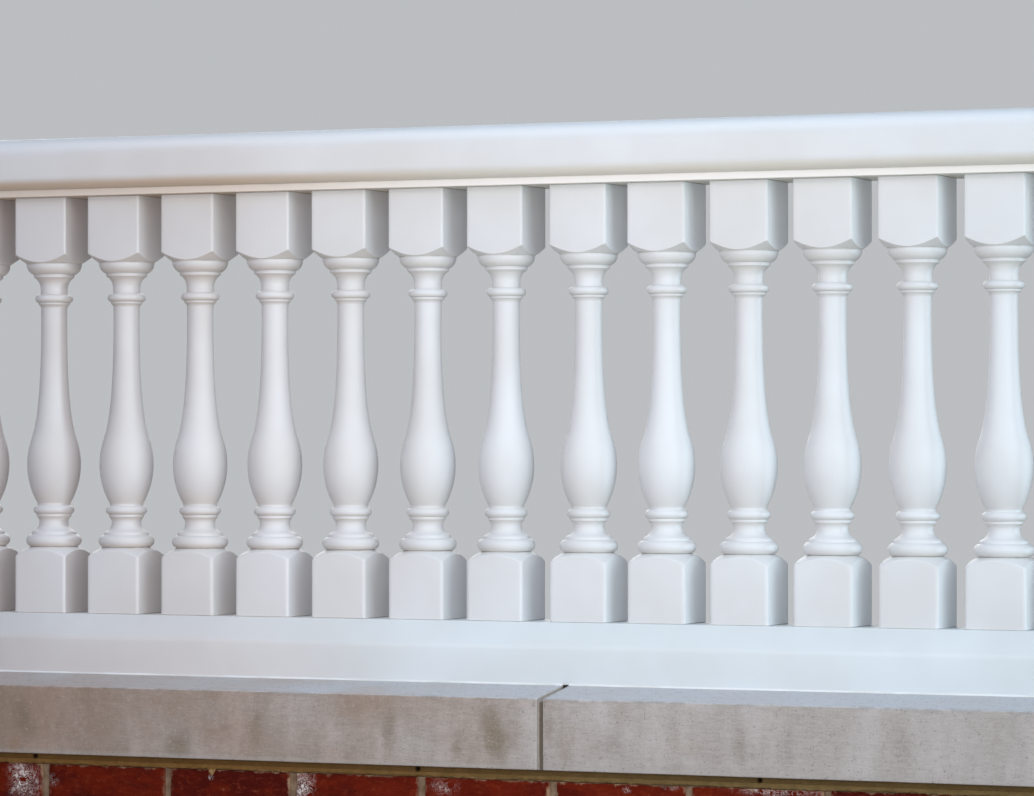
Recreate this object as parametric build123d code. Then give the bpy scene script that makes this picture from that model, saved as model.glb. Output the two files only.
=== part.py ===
from build123d import *
import os

# A straight run of turned balusters between two moulded rails, on a stone coping and a low brick wall.
# X runs along the rails, -Y is the weather side and Z is up. The origin is the middle of the wall's foot.
# All sizes are in millimetres.

# The run
baluster_count = 19
baluster_pitch = 127.0
middle_baluster_shift = 4.6     # the middle baluster was set a little to the right
end_clearance = 19.05           # from the outer side of the last block to the plain cut end

# Brick wall: two leaves of brickwork with a filled core
course_count = 4
brick_height = 57.7
bed_joint_height = 10.0
leaf_thickness = 92.0
core_thickness = 111.0

# Mortar bed under the coping, with weep holes in its front
bed_height = 16.0
bed_setback = 3.0
weep_diameter = 6.5
weep_depth = 40.0
weep_drop = 4.6                 # from the coping's underside to the middle of the hole
weep_places = (-838.0, -203.0, 324.0, 905.0)

# Coping: two stones whose top falls away from the bottom rail on both sides
coping_depth = 330.0
coping_face_height = 102.6
coping_fall = 13.9
coping_arris_radius = 3.0
coping_joint_width = 9.0
coping_joint_place = -2.5
joint_recess = 6.0              # the mortar is set back from the faces of the stones
joint_hole_length = 9.0         # mortar is missing where the joint meets the bottom rail
joint_hole_depth = 14.0

# Bottom rail
bottom_rail_height = 89.6
bottom_rail_depth = 140.0
bottom_rail_ledge = 4.5         # level strip in front of the baluster blocks
bottom_rail_slope_height = 35.5
bottom_rail_arris_radius = 18.0

# Square blocks at the ends of a baluster, with turned shoulders
baluster_height = 636.0
block_width = 88.9
base_edge_radius = 4.5
cap_edge_radius = 3.0
base_corner_height = 85.2
base_shoulder_rise = 15.6
base_shoulder_swell = 1.0
cap_corner_height = 86.5
cap_shoulder_rise = 13.9

# Turned members from the base block up to the belly
base_ring_height = 18.4
base_ring_root_radius = 35.6
base_ring_radius = 42.7
nose_height = 5.4               # a small quarter round between the ring and the scotia
nose_radius = 34.4
nose_top_radius = 32.2
nose_swell = 0.8
scotia_foot_rise = 13.6         # from the scotia's foot up to its narrowest place
scotia_radius = 22.3
scotia_top_rise = 9.0           # from the narrowest place up to the fillet
foot_fillet_height = 3.4
foot_fillet_radius = 26.9
bead_height = 13.2
bead_root_radius = 26.8
bead_radius = 31.5
foot_neck_height = 3.4
foot_neck_radius = 25.4
belly_rise = 59.8               # from the neck up to the widest place
belly_radius = 41.2
belly_crown_rise = 39.0         # from the widest place up to where the outline starts to hollow
belly_crown_radius = 34.9

# Turned members from the cap block down to the shaft
cap_ring_height = 16.2
cap_ring_radius = 42.4
cap_ring_root_radius = 32.8
cap_ring_swell = 2.8
cap_fillet_height = 4.6
cap_fillet_radius = 31.2
cavetto_height = 16.8
cavetto_swell = 2.7
cap_neck_height = 9.9
cap_neck_radius = 20.7
astragal_height = 12.2
astragal_root_radius = 24.6
astragal_radius = 29.2
astragal_fillet_height = 2.8
astragal_fillet_radius = 24.2
cove_height = 7.2
cove_swell = 1.2
shaft_top_radius = 20.0
shaft_straight_height = 17.0    # from the cove down to the narrowest place
shaft_radius = 19.9
shaft_taper_reach = 120.0       # how far the shaft's straightness reaches down
belly_flare_reach = 23.0        # how far the belly's slope reaches up

# Top rail: a flat fillet that sits on the blocks, below a rounded nose
rail_fillet_width = 127.0
rail_fillet_height = 10.9
rail_overhang = 21.0
rail_under_radius = 20.0
rail_side_height = 24.5
rail_shoulder_radius = 34.0
rail_crown_rise = 2.0

same_height = 0.01              # edges that differ less than this in height are taken together

# Places that follow from the sizes above
run_length = (baluster_count - 1) * baluster_pitch + block_width + 2 * end_clearance
wall_height = course_count * brick_height + (course_count - 1) * bed_joint_height
wall_thickness = 2 * leaf_thickness + core_thickness
coping_foot = wall_height + bed_height
bottom_rail_foot = coping_foot + coping_face_height + coping_fall
baluster_foot = bottom_rail_foot + bottom_rail_height
top_rail_foot = baluster_foot + baluster_height


def mirrored_bar(outline, length):
    # A bar centred on X, from the half of its section that lies on the +Y side.
    half = make_face(Plane.YZ * outline)
    section = half + mirror(half, Plane.XZ)
    return Pos(-length / 2, 0, 0) * extrude(section, amount=length, dir=(1, 0, 0))


def ease_long_edges(bar, height, radius):
    # Rounds the edges that run along the bar at one height.
    edges = bar.edges().filter_by(Axis.X)
    edges = edges.filter_by(lambda edge: abs(edge.center().Z - height) < same_height)
    return fillet(edges, radius)


def top_rail():
    face = rail_fillet_width / 2
    side = face + rail_overhang
    under = min(rail_under_radius, rail_overhang)
    shoulder = min(rail_shoulder_radius, side)
    side_foot = rail_fillet_height + under
    side_top = side_foot + rail_side_height
    crown_edge = side_top + shoulder
    crown = crown_edge + rail_crown_rise
    quirk = (side - under, rail_fillet_height)
    outline = Polyline((0, crown), (0, 0), (face, 0), (face, rail_fillet_height), quirk)
    outline += JernArc(quirk, (1, 0), under, 90)
    outline += Line((side, side_foot), (side, side_top))
    outline += JernArc((side, side_top), (0, 1), shoulder, 90)
    outline += Spline((side - shoulder, crown_edge), (0, crown), tangents=((-1, 0), (-1, 0)))
    return Pos(0, 0, top_rail_foot) * mirrored_bar(outline, run_length)


def bottom_rail():
    ledge = block_width / 2 + bottom_rail_ledge
    face = bottom_rail_depth / 2
    side_top = bottom_rail_height - bottom_rail_slope_height
    outline = Polyline(
        (0, 0),
        (face, 0),
        (face, side_top),
        (ledge, bottom_rail_height),
        (0, bottom_rail_height),
        close=True,
    )
    bar = mirrored_bar(outline, run_length)
    return Pos(0, 0, bottom_rail_foot) * ease_long_edges(bar, side_top, bottom_rail_arris_radius)


def coping_stone(left_end, right_end):
    face = coping_depth / 2
    seat = bottom_rail_depth / 2
    top = coping_face_height + coping_fall
    outline = Polyline((0, 0), (face, 0), (face, coping_face_height), (seat, top), (0, top), close=True)
    bar = mirrored_bar(outline, right_end - left_end)
    bar = ease_long_edges(bar, coping_face_height, coping_arris_radius)
    return Pos((left_end + right_end) / 2, 0, coping_foot) * bar


def coping_joint():
    # The mortar between the stones is level with the seat, and set back on the slopes and the faces.
    face = coping_depth / 2 - joint_recess
    seat = bottom_rail_depth / 2
    top = coping_face_height + coping_fall
    outline = Polyline(
        (0, 0),
        (face, 0),
        (face, coping_face_height - joint_recess),
        (seat, top - joint_recess),
        (seat, top),
        (0, top),
        close=True,
    )
    mortar = mirrored_bar(outline, coping_joint_width)
    below_and_behind = (Align.CENTER, Align.MAX, Align.MAX)
    hole = Box(coping_joint_width, joint_hole_length, joint_hole_depth, align=below_and_behind)
    mortar -= Pos(0, -seat, top) * hole
    return Pos(coping_joint_place, 0, coping_foot) * mortar


def mortar_bed():
    depth = wall_thickness - 2 * bed_setback
    bed = Box(run_length, depth, bed_height, align=(Align.CENTER, Align.CENTER, Align.MIN))
    weep = Cylinder(weep_diameter / 2, weep_depth, rotation=(90, 0, 0))
    for place in weep_places:
        bed -= Pos(place, (weep_depth - depth) / 2, bed_height - weep_drop) * weep
    return Pos(0, 0, wall_height) * bed


def wall_layer(thickness, middle):
    layer = Box(run_length, thickness, wall_height, align=(Align.CENTER, Align.CENTER, Align.MIN))
    return Pos(0, middle, 0) * layer


def block(corner_height, shoulder_rise, neck_radius, shoulder_swell, edge_radius):
    # A square prism whose upper end is turned down to a round neck.
    corner = block_width / 2 * 2 ** 0.5
    reach = corner + block_width
    top = corner_height + shoulder_rise
    outline = Polyline(
        (neck_radius, top), (0, top), (0, 0), (reach, 0), (reach, corner_height), (corner, corner_height)
    )
    if shoulder_swell:
        outline += SagittaArc((neck_radius, top), (corner, corner_height), shoulder_swell)
    else:
        outline += Line((neck_radius, top), (corner, corner_height))
    turned_end = revolve(make_face(Plane.XZ * outline), Axis.Z)
    prism = Box(block_width, block_width, top, align=(Align.CENTER, Align.CENTER, Align.MIN))
    prism = fillet(prism.edges().filter_by(Axis.Z), edge_radius)
    return prism & turned_end


def turned_foot():
    # Ring, nose, scotia, fillet and bead, as radius against height from the base block up to the belly.
    ring_foot = base_corner_height + base_shoulder_rise
    nose_foot = ring_foot + base_ring_height
    scotia_foot = nose_foot + nose_height
    throat = (scotia_radius, scotia_foot + scotia_foot_rise)
    fillet_foot = scotia_foot + scotia_foot_rise + scotia_top_rise
    bead_foot = fillet_foot + foot_fillet_height
    neck_foot = bead_foot + bead_height
    ring_low = (base_ring_root_radius, ring_foot)
    ring_high = (base_ring_root_radius, nose_foot)
    nose_low = (nose_radius, nose_foot)
    nose_high = (nose_top_radius, scotia_foot)
    outline = Polyline((0, base_corner_height), (base_ring_root_radius, base_corner_height), ring_low)
    outline += ThreePointArc(ring_low, (base_ring_radius, (ring_foot + nose_foot) / 2), ring_high)
    outline += Line(ring_high, nose_low)
    outline += SagittaArc(nose_low, nose_high, -nose_swell)
    outline += TangentArc(throat, nose_high, tangent=(0, -1))
    outline += TangentArc(throat, (foot_fillet_radius, fillet_foot), tangent=(0, 1))
    bead_low = (bead_root_radius, bead_foot)
    bead_high = (bead_root_radius, neck_foot)
    belly_foot = neck_foot + foot_neck_height
    outline += Polyline((foot_fillet_radius, fillet_foot), (foot_fillet_radius, bead_foot), bead_low)
    outline += ThreePointArc(bead_low, (bead_radius, (bead_foot + neck_foot) / 2), bead_high)
    outline += Polyline(bead_high, (foot_neck_radius, neck_foot), (foot_neck_radius, belly_foot))
    return outline, belly_foot


def turned_head():
    # Shaft top, cove, fillet, astragal, neck, cavetto, fillet and ring, up to the cap block.
    cap_block_foot = baluster_height - cap_corner_height
    ring_top = cap_block_foot - cap_shoulder_rise
    ring_foot = ring_top - cap_ring_height
    cavetto_top = ring_foot - cap_fillet_height
    neck_top = cavetto_top - cavetto_height
    astragal_top = neck_top - cap_neck_height
    astragal_foot = astragal_top - astragal_height
    cove_top = astragal_foot - astragal_fillet_height
    shaft_top = cove_top - cove_height
    shaft_narrow = shaft_top - shaft_straight_height
    outline = Line((shaft_radius, shaft_narrow), (shaft_top_radius, shaft_top))
    outline += SagittaArc((shaft_top_radius, shaft_top), (astragal_fillet_radius, cove_top), cove_swell)
    low = (astragal_root_radius, astragal_foot)
    high = (astragal_root_radius, astragal_top)
    outline += Polyline((astragal_fillet_radius, cove_top), (astragal_fillet_radius, astragal_foot), low)
    outline += ThreePointArc(low, (astragal_radius, (astragal_foot + astragal_top) / 2), high)
    outline += Polyline(high, (cap_neck_radius, astragal_top), (cap_neck_radius, neck_top))
    outline += SagittaArc((cap_neck_radius, neck_top), (cap_fillet_radius, cavetto_top), cavetto_swell)
    ring_low = (cap_ring_root_radius, ring_foot)
    outline += Polyline((cap_fillet_radius, cavetto_top), (cap_fillet_radius, ring_foot), ring_low)
    outline += SagittaArc(ring_low, (cap_ring_radius, ring_top), -cap_ring_swell)
    outline += Polyline((cap_ring_radius, ring_top), (cap_ring_radius, cap_block_foot), (0, cap_block_foot))
    return outline, shaft_narrow


def turned_outline():
    # The foot, the belly with its hollow taper into the shaft, the head, and the axis that closes them.
    foot, belly_foot = turned_foot()
    head, shaft_narrow = turned_head()
    middle = (belly_radius, belly_foot + belly_rise)
    crown = (belly_crown_radius, belly_foot + belly_rise + belly_crown_rise)
    crown_arc = TangentArc(middle, crown, tangent=(0, 1))
    flare = Vector(*crown) + (crown_arc % 1) * belly_flare_reach
    outline = foot + TangentArc(middle, (foot_neck_radius, belly_foot), tangent=(0, -1)) + crown_arc
    shaft_foot = (shaft_radius, shaft_narrow)
    shaft_hold = (shaft_radius, shaft_narrow - shaft_taper_reach)
    outline += Bezier(crown, (flare.X, flare.Y), shaft_hold, shaft_foot)
    return outline + head + Line((0, baluster_height - cap_corner_height), (0, base_corner_height))


def baluster():
    base_block = block(
        base_corner_height, base_shoulder_rise, base_ring_root_radius, base_shoulder_swell, base_edge_radius
    )
    cap_block = block(cap_corner_height, cap_shoulder_rise, cap_ring_radius, 0, cap_edge_radius)
    cap_block = Pos(0, 0, baluster_height) * Rot(180, 0, 0) * cap_block
    turned_part = revolve(make_face(Plane.XZ * turned_outline()), Axis.Z)
    return base_block + turned_part + cap_block


def baluster_place(number):
    middle_number = (baluster_count + 1) / 2
    place = (number - middle_number) * baluster_pitch
    if number == middle_number:
        place += middle_baluster_shift
    return Pos(place, 0, baluster_foot)


pieces = {
    "outer_brick_leaf": wall_layer(leaf_thickness, -(core_thickness + leaf_thickness) / 2),
    "wall_core": wall_layer(core_thickness, 0),
    "inner_brick_leaf": wall_layer(leaf_thickness, (core_thickness + leaf_thickness) / 2),
    "mortar_bed": mortar_bed(),
    "coping_stone_left": coping_stone(-run_length / 2, coping_joint_place - coping_joint_width / 2),
    "coping_stone_right": coping_stone(coping_joint_place + coping_joint_width / 2, run_length / 2),
    "coping_joint": coping_joint(),
    "bottom_rail": bottom_rail(),
    "top_rail": top_rail(),
}
one_baluster = baluster()
for number in range(1, baluster_count + 1):
    pieces[f"baluster_{number:02d}"] = baluster_place(number) * one_baluster

os.makedirs("parts", exist_ok=True)
for name, piece in pieces.items():
    export_step(piece, f"parts/{name}.step")
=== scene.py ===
import math
import random

import bmesh
import bpy
from mathutils import Matrix, Vector, noise
from mathutils.geometry import interpolate_bezier


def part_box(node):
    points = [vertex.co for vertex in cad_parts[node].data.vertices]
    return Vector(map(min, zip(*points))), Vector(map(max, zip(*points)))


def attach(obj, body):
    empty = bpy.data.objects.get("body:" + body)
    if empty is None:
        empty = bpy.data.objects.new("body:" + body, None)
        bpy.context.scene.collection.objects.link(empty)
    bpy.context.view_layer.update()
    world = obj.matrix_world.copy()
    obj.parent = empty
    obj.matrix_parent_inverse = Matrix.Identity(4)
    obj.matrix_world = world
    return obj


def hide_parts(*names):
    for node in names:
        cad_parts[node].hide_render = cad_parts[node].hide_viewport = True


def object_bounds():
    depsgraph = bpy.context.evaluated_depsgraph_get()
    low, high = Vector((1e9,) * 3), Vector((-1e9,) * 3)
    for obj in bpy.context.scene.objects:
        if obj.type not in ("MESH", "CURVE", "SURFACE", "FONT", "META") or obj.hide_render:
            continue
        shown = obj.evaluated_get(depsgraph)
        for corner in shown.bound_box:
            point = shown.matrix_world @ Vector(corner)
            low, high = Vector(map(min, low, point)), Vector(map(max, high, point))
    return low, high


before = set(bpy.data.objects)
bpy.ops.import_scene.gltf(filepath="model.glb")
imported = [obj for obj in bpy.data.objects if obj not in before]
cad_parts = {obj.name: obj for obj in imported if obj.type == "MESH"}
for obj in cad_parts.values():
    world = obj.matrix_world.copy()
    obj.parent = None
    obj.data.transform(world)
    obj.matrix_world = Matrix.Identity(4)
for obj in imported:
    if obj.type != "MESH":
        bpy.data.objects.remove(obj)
cadLow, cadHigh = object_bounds()

# Lengths in the dictionaries are in millimetres, unless a note says otherwise
mm = 0.001
slack = 0.01                      # how closely places have to agree
seed = 19
rng = random.Random(seed)
bedLow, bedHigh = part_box("mortar_bed")
jointLow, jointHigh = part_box("coping_joint")
railLow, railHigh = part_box("bottom_rail")
leafLow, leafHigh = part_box("outer_brick_leaf")


# Small helpers for meshes

def bulge(start, end, swell, count):
    # points after start, up to end, on an arc that stands off its chord by swell, to the left
    dx, dz = end[0] - start[0], end[1] - start[1]
    length = math.hypot(dx, dz)
    half = 2 * math.atan(2 * swell / length)
    points = []
    for i in range(1, count + 1):
        angle = half * (2 * i / count - 1)
        along = (1 + math.sin(angle) / math.sin(half)) / 2
        off = swell * (math.cos(angle) - math.cos(half)) / (1 - math.cos(half)) / length
        points.append((start[0] + dx * along - dz * off, start[1] + dz * along + dx * off))
    return points


def uprightArc(start, end, count):
    # an arc that stands upright at its start
    half = math.atan((end[0] - start[0]) / (end[1] - start[1]))
    return bulge(start, end, math.dist(start, end) / 2 * math.tan(half / 2), count)


def halfRound(root, edge, foot, top, count=8):
    return bulge((root, foot), (root, top), root - edge, count)


def drawOutline(bm, points, axis):
    # a wire through the points: each has its place on the axis, 0 for X or 1 for Y, and its height
    verts = [bm.verts.new((x * mm, 0, z * mm) if axis == 0 else (0, x * mm, z * mm)) for x, z in points]
    for one, two in zip(verts, verts[1:]):
        bm.edges.new((one, two))
    return verts


def vertsOf(geom):
    return [v for v in geom if isinstance(v, bmesh.types.BMVert)]


def sharpEdges(bm, least=25):
    return [e for e in bm.edges if len(e.link_faces) == 2 and e.calc_face_angle() > math.radians(least)]


def soften(bm, edges, radius, segments, affect="EDGES"):
    bmesh.ops.bevel(bm, geom=edges, offset=radius * mm, offset_type="OFFSET", segments=segments,
                    profile=0.5, affect=affect, clamp_overlap=True, material=-1)


def cutUp(bm, axis, low, high, spacing):
    # cuts the faces along planes square to one axis, so that they can be worn unevenly
    count = max(1, round(abs(high - low) / (spacing * mm)))
    normal = Vector([1.0 if i == axis else 0.0 for i in range(3)])
    for i in range(1, count):
        place = normal * (low + (high - low) * i / count)
        whole = bm.verts[:] + bm.edges[:] + bm.faces[:]
        bmesh.ops.bisect_plane(bm, geom=whole, dist=1e-6, plane_co=place, plane_no=normal)


def slab(bm, low, high):
    bmesh.ops.create_cube(bm, size=1.0)
    bmesh.ops.scale(bm, vec=high - low, verts=bm.verts)
    bmesh.ops.translate(bm, vec=(low + high) / 2, verts=bm.verts)


def lump(spot, size):
    # smooth unevenness from -1 to 1, with lumps of about this size
    return noise.noise(spot / (size * mm))


def tidyMesh(bm):
    bmesh.ops.remove_doubles(bm, verts=bm.verts, dist=slack * mm)
    bmesh.ops.recalc_face_normals(bm, faces=bm.faces)


def drawOut(bm, faces, length):
    # draws faces out along X into a bar
    grown = bmesh.ops.extrude_face_region(bm, geom=faces)["geom"]
    bmesh.ops.translate(bm, verts=vertsOf(grown), vec=(length, 0, 0))
    tidyMesh(bm)


def markRelief(bm):
    # notes on each vertex how far it lies in a hollow or on a ridge, for grime with painted shade in hollows
    # and for worn edges with a painted highlight
    hollow = bm.verts.layers.float.new("hollow")
    ridge = bm.verts.layers.float.new("ridge")
    for vert in bm.verts:
        turns = [e.calc_face_angle_signed(0.0) for e in vert.link_edges if len(e.link_faces) == 2]
        vert[hollow] = max(0.0, -min(turns, default=0.0)) / (math.pi / 2)
        vert[ridge] = max(0.0, max(turns, default=0.0)) / (math.pi / 2)


def toMesh(bm, name):
    mesh = bpy.data.meshes.new(name)
    bm.to_mesh(mesh)
    bm.free()
    return mesh


def addObject(name, data):
    added = bpy.data.objects.new(name, data)
    bpy.context.scene.collection.objects.link(added)
    return added


def finishPiece(bm, name, material, nodes=(), smoothAngle=35):
    bm.normal_update()
    markRelief(bm)
    mesh = toMesh(bm, name)
    mesh.shade_smooth()
    mesh.set_sharp_from_angle(angle=math.radians(smoothAngle))
    mesh.materials.append(material)
    piece = addObject(name, mesh)
    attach(piece, "root")
    if nodes:
        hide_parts(*nodes)


# Small helpers for materials: each works in the node tree of the sockets that it is given

def isSocket(value):
    return isinstance(value, bpy.types.NodeSocket)


def treeOf(*values):
    return next(value.id_data for value in values if isSocket(value))


def addNode(tree, kind, inputs=None, **settings):
    node = tree.nodes.new("ShaderNode" + kind)
    for name, value in settings.items():
        setattr(node, name, value)
    for name, value in (inputs or {}).items():
        if isSocket(value):
            tree.links.new(value, node.inputs[name])
        else:
            node.inputs[name].default_value = value
    return node


def calc(operation, *values):
    # a math node, or a row of them where there are more than two values
    total, *others = values
    for other in others or [0.0]:
        total = addNode(treeOf(*values), "Math", {0: total, 1: other}, operation=operation).outputs[0]
    return total


def plus(*values):
    return calc("ADD", *values)


def less(value, other):
    return calc("SUBTRACT", value, other)


def times(*values):
    return calc("MULTIPLY", *values)


def vectorCalc(operation, *values, output=0):
    tree = treeOf(*values)
    return addNode(tree, "VectorMath", dict(enumerate(values)), operation=operation).outputs[output]


def split(vector):
    return addNode(vector.id_data, "SeparateXYZ", {0: vector}).outputs


def normalAt(place):
    return split(addNode(place.id_data, "NewGeometry").outputs["Normal"])


def attribute(place, name, output="Fac"):
    return addNode(place.id_data, "Attribute", attribute_name=name).outputs[output]


def ramp(value, low, high, least=0.0, most=1.0):
    inputs = {"Value": value, "From Min": low, "From Max": high, "To Min": least, "To Max": most}
    return addNode(value.id_data, "MapRange", inputs, interpolation_type="SMOOTHSTEP").outputs[0]


def blend(mask, a, b, way="MIX"):
    a, b = [colour if isSocket(colour) else (*colour, 1.0) for colour in (a, b)]
    tree = treeOf(mask, a, b)
    return addNode(tree, "Mix", {0: mask, 6: a, 7: b}, data_type="RGBA", blend_type=way).outputs[2]


def layer(colour, look, *layers):
    # lays colours of the look over one another, each through a mask
    for mask, name, *way in layers:
        colour = blend(mask, colour, look[name], *way)
    return colour


def stretched(vector, scale):
    return addNode(vector.id_data, "Mapping", {"Vector": vector, "Scale": scale}).outputs[0]


def cloud(vector, size, detail=3.0, rough=0.5, distortion=0.0):
    scale = calc("DIVIDE", 1 / mm, size) if isSocket(size) else 1 / (size * mm)
    inputs = {0: vector, "Scale": scale, "Detail": detail, "Roughness": rough, "Distortion": distortion}
    return addNode(vector.id_data, "TexNoise", inputs).outputs["Fac"]


def makeGroup(name, inputs, build):
    # build turns the sockets that the group is given into a dictionary of what it puts out
    tree = bpy.data.node_groups.new(name, "ShaderNodeTree")
    tree.interface.new_socket(name="Vector", in_out="INPUT", socket_type="NodeSocketVector")
    for socketName, value in inputs.items():
        kind = "NodeSocket" + ("Float" if isinstance(value, float) else "Vector")
        tree.interface.new_socket(name=socketName, in_out="INPUT", socket_type=kind).default_value = value
    made = build(tree.nodes.new("NodeGroupInput").outputs)
    for socketName in made:
        tree.interface.new_socket(name=socketName, in_out="OUTPUT", socket_type="NodeSocketFloat")
    put = tree.nodes.new("NodeGroupOutput").inputs
    for socketName, value in made.items():
        tree.links.new(value, put[socketName])
    return tree


def useGroup(group, vector, inputs):
    return addNode(vector.id_data, "Group", {"Vector": vector, **inputs}, node_tree=group).outputs


def buildGrain(given):
    # specks of two sizes, as a mask and as a height
    fine = cloud(given["Vector"], given["Size"], 2.0)
    coarse = cloud(given["Vector"], times(given["Size"], 1 / 0.29), 4.0)
    both = plus(times(fine, 0.6), times(coarse, 0.4))
    return {"Speckle": ramp(both, 0.36, 0.64), "Height": both}


def buildPatch(given):
    # a soft ragged patch round one place: 1 in its middle and 0 outside
    away = vectorCalc("SUBTRACT", given["Vector"], given["Centre"])
    distance = vectorCalc("LENGTH", vectorCalc("DIVIDE", away, given["Reach"]), output="Value")
    ragged = times(less(cloud(given["Vector"], given["Ragged Size"], 4.0), 0.5), given["Ragged"])
    return {"Mask": ramp(plus(distance, ragged), 1.35, 0.1)}


def buildStreaks(given):
    # marks that run down a face: columns of uneven width that fade in and out on their way
    wide = cloud(stretched(given["Vector"], (1.0, 1.0, 0.2)), given["Spacing"], 2.0)
    broken = cloud(given["Vector"], times(given["Spacing"], 1 / 1.7), 2.0)
    edge = less(1.0, given["Cover"])
    marks = plus(times(wide, 0.75), times(broken, 0.25))
    return {"Mask": ramp(marks, less(edge, given["Softness"]), plus(edge, given["Softness"]))}


def buildGrimeAndShade(given):
    # dirt that gathers in hollows, with painted shade there too, broken up by a cloud
    broken = ramp(cloud(given["Vector"], given["Cloud Size"]), 0.3, 0.65, 0.35, 1.0)
    return {"Mask": times(ramp(given["Hollow"], 0.05, 0.55), broken, given["Amount"])}


grainGroup = makeGroup("fineGrain", {"Size": 1.0}, buildGrain)
patchInputs = {"Centre": (0.0, 0.0, 0.0), "Reach": (0.1, 0.1, 0.1), "Ragged": 0.5, "Ragged Size": 20.0}
patchGroup = makeGroup("softPatch", patchInputs, buildPatch)
streakGroup = makeGroup("runDown", {"Spacing": 60.0, "Cover": 0.5, "Softness": 0.12}, buildStreaks)
grimeAndShadeGroup = makeGroup("hollowGrimeAndShade", {"Hollow": 0.0, "Amount": 1.0, "Cloud Size": 25.0}, buildGrimeAndShade)
print("shader groups made")


def grainOf(place, size):
    return useGroup(grainGroup, place, {"Size": size})


def patchAt(place, centre, reach, ragged, raggedSize):
    inputs = {"Centre": centre, "Reach": reach, "Ragged": ragged, "Ragged Size": raggedSize}
    return useGroup(patchGroup, place, inputs)["Mask"]


def startMaterial(name):
    material = bpy.data.materials.new(name)
    material.use_nodes = True
    place = addNode(material.node_tree, "TexCoord").outputs["Object"]
    return material, material.node_tree.nodes["Principled BSDF"], place


def wearShader(shader, colour, roughness, height, bumpDepth=1.0):
    links = shader.id_data.links
    links.new(colour, shader.inputs["Base Color"])
    links.new(roughness, shader.inputs["Roughness"])
    bump = addNode(shader.id_data, "Bump", {"Height": height, "Strength": 1.0, "Distance": bumpDepth * mm})
    links.new(bump.outputs[0], shader.inputs["Normal"])


# White masonry paint on rails and balusters
paintLook = {
    "plain": (0.80, 0.815, 0.83), "thin": (0.745, 0.745, 0.74),
    "undersideShade": (0.77, 0.72, 0.61), "undersideShadeLeft": (0.63, 0.465, 0.31), "skyLitTop": (0.91, 0.95, 0.97),
    "leftShade": (1.0, 0.955, 0.93), "footCoolLight": (0.98, 1.035, 1.05), "footLeftShade": (0.88, 0.86, 0.85),
    "leftSideShade": (0.61, 0.58, 0.575), "rightSideLight": (0.925, 0.96, 0.975),
    "fillet": (0.95, 0.925, 0.89), "filletLeftShade": (0.84, 0.74, 0.65),
    "dustAndSkyTint": (0.60, 0.66, 0.685), "dustAndSkyTintShare": 0.28,
    "grimeAndShade": (0.33, 0.31, 0.27), "grimeAndShadeShare": 0.42, "grimeAndShadeSize": 22.0,
    "cloudSize": 190.0, "peelSize": 1.7, "peelDepth": 0.05, "brushSize": 2.4, "brushDepth": 0.05,
    "roughness": 0.46,
}


def whitePaint(name, brushStretch, undersideShade, footBandTop=None, filletTop=None):
    # brushStretch draws the brush marks out along the piece, the share after it is how much painted shade the
    # undersides get, the height after that tops a foot band of dust and painted tints, and the top rail's
    # fillet reaches up to filletTop
    look = paintLook
    material, shader, place = startMaterial(name)
    thin = ramp(cloud(place, look["cloudSize"]), 0.35, 0.7)
    colour = blend(thin, look["plain"], look["thin"])
    normal, at = normalAt(place), split(place)
    atLeft = ramp(at["X"], -0.05, -0.65)
    if filletTop:
        # painted light: up-facing faces of the rail above its fillet turn a brighter blue-white, as if lit by
        # the sky
        skyLitTop = times(ramp(normal["Z"], 0.2, 0.7), ramp(at["Z"], filletTop, filletTop + 10 * mm))
        colour = layer(colour, look, (skyLitTop, "skyLitTop"))
    else:
        # painted light and shade: side faces turn paler towards the right and darker at the far left
        side = ramp(normal["X"], 0.74, 0.98)
        colour = layer(
            colour, look,
            (times(side, ramp(at["X"], -0.12, 0.12)), "rightSideLight"),
            (times(side, ramp(at["X"], -0.64, -0.9)), "leftSideShade"))
    # painted shade: the undersides turn darker and warmer, standing in for the shade under them and the warm
    # light bounced up from below, darker still at the left
    shadedUnderside = blend(atLeft, look["undersideShade"], look["undersideShadeLeft"])
    colour = blend(ramp(normal["Z"], -0.1, -0.75, 0.0, undersideShade), colour, shadedUnderside)
    # painted shade: everything towards the left is made darker and warmer
    colour = layer(colour, look, (atLeft, "leftShade", "MULTIPLY"))
    if filletTop:
        # painted light: the fillet under the rail's nose is made brighter and warmer, as if lit by light
        # bounced up into its shade, and darker at the left with painted shade
        onFillet = times(
            ramp(normal["Z"], -0.5, -0.2),
            ramp(at["Z"], filletTop - 13 * mm, filletTop - 12 * mm),
            ramp(at["Z"], filletTop + 0.5 * mm, filletTop - 0.5 * mm))
        colour = blend(onFillet, colour, blend(atLeft, look["fillet"], look["filletLeftShade"]))
    if footBandTop:
        # the foot band: painted cool light from the middle to the right, painted shade at the far left, and
        # dust with a painted blue sky tint on up-facing faces
        atFoot = ramp(at["Z"], footBandTop, footBandTop - 10 * mm)
        colour = layer(
            colour, look,
            (times(atFoot, ramp(at["X"], -0.6, -0.2)), "footCoolLight", "MULTIPLY"),
            (times(atFoot, ramp(at["X"], -0.78, -0.98)), "footLeftShade", "MULTIPLY"),
            (times(atFoot, ramp(normal["Z"], 0.25, 0.6, 0.0, look["dustAndSkyTintShare"])), "dustAndSkyTint"))
    # dirt with painted shade in the hollows
    inputs = {"Hollow": attribute(place, "hollow"), "Amount": look["grimeAndShadeShare"]}
    inputs["Cloud Size"] = look["grimeAndShadeSize"]
    colour = layer(colour, look, (useGroup(grimeAndShadeGroup, place, inputs)["Mask"], "grimeAndShade"))
    peel = grainOf(place, look["peelSize"])["Height"]
    brush = cloud(stretched(place, brushStretch), look["brushSize"], 2.0)
    height = plus(times(peel, look["peelDepth"]), times(brush, look["brushDepth"]))
    wearShader(shader, colour, plus(times(thin, 0.1), look["roughness"]), height)
    return material
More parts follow.
